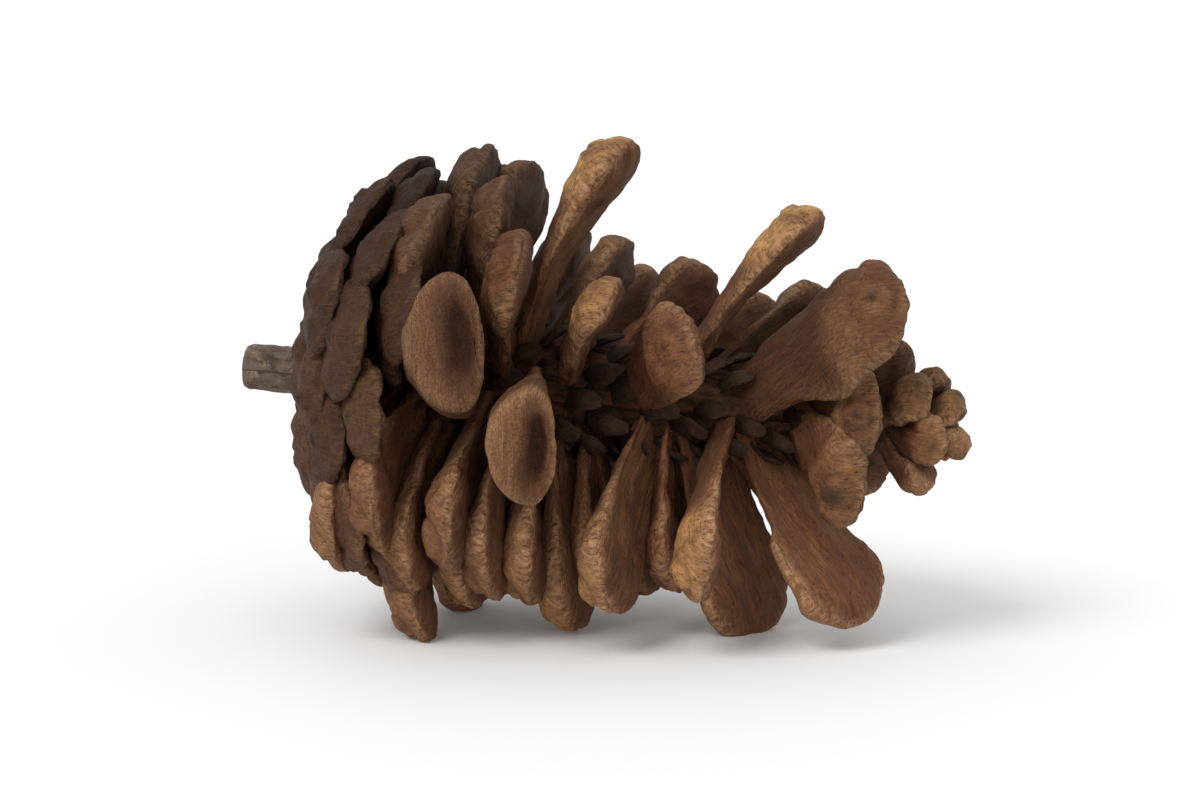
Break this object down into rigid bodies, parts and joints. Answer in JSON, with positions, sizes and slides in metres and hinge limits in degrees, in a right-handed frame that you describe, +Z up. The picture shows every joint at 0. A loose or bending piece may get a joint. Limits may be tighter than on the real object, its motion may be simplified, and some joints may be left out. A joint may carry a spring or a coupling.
{
  "type": "larch cone",
  "caption": "Small dry conifer cone, open, with a dense rounded base, thick tongue-shaped scales around a woody core and a short stub of twig, lying on its side.",
  "frame": {"origin": "the middle of the bounding box, on the surface that the cone lies on", "axes": "+X along the cone from its stalk to its apex, +Z up"},
  "size_m": [0.0516, 0.0332, 0.0346],
  "materials": {
    "cone_scales": "matte, dry, fibrous",
    "twig_bark": "matte, rough bark"
  },
  "bodies": {
    "root": {"scaly_cone": "cone_scales", "stalk": "twig_bark"}
  },
  "joints": []
}
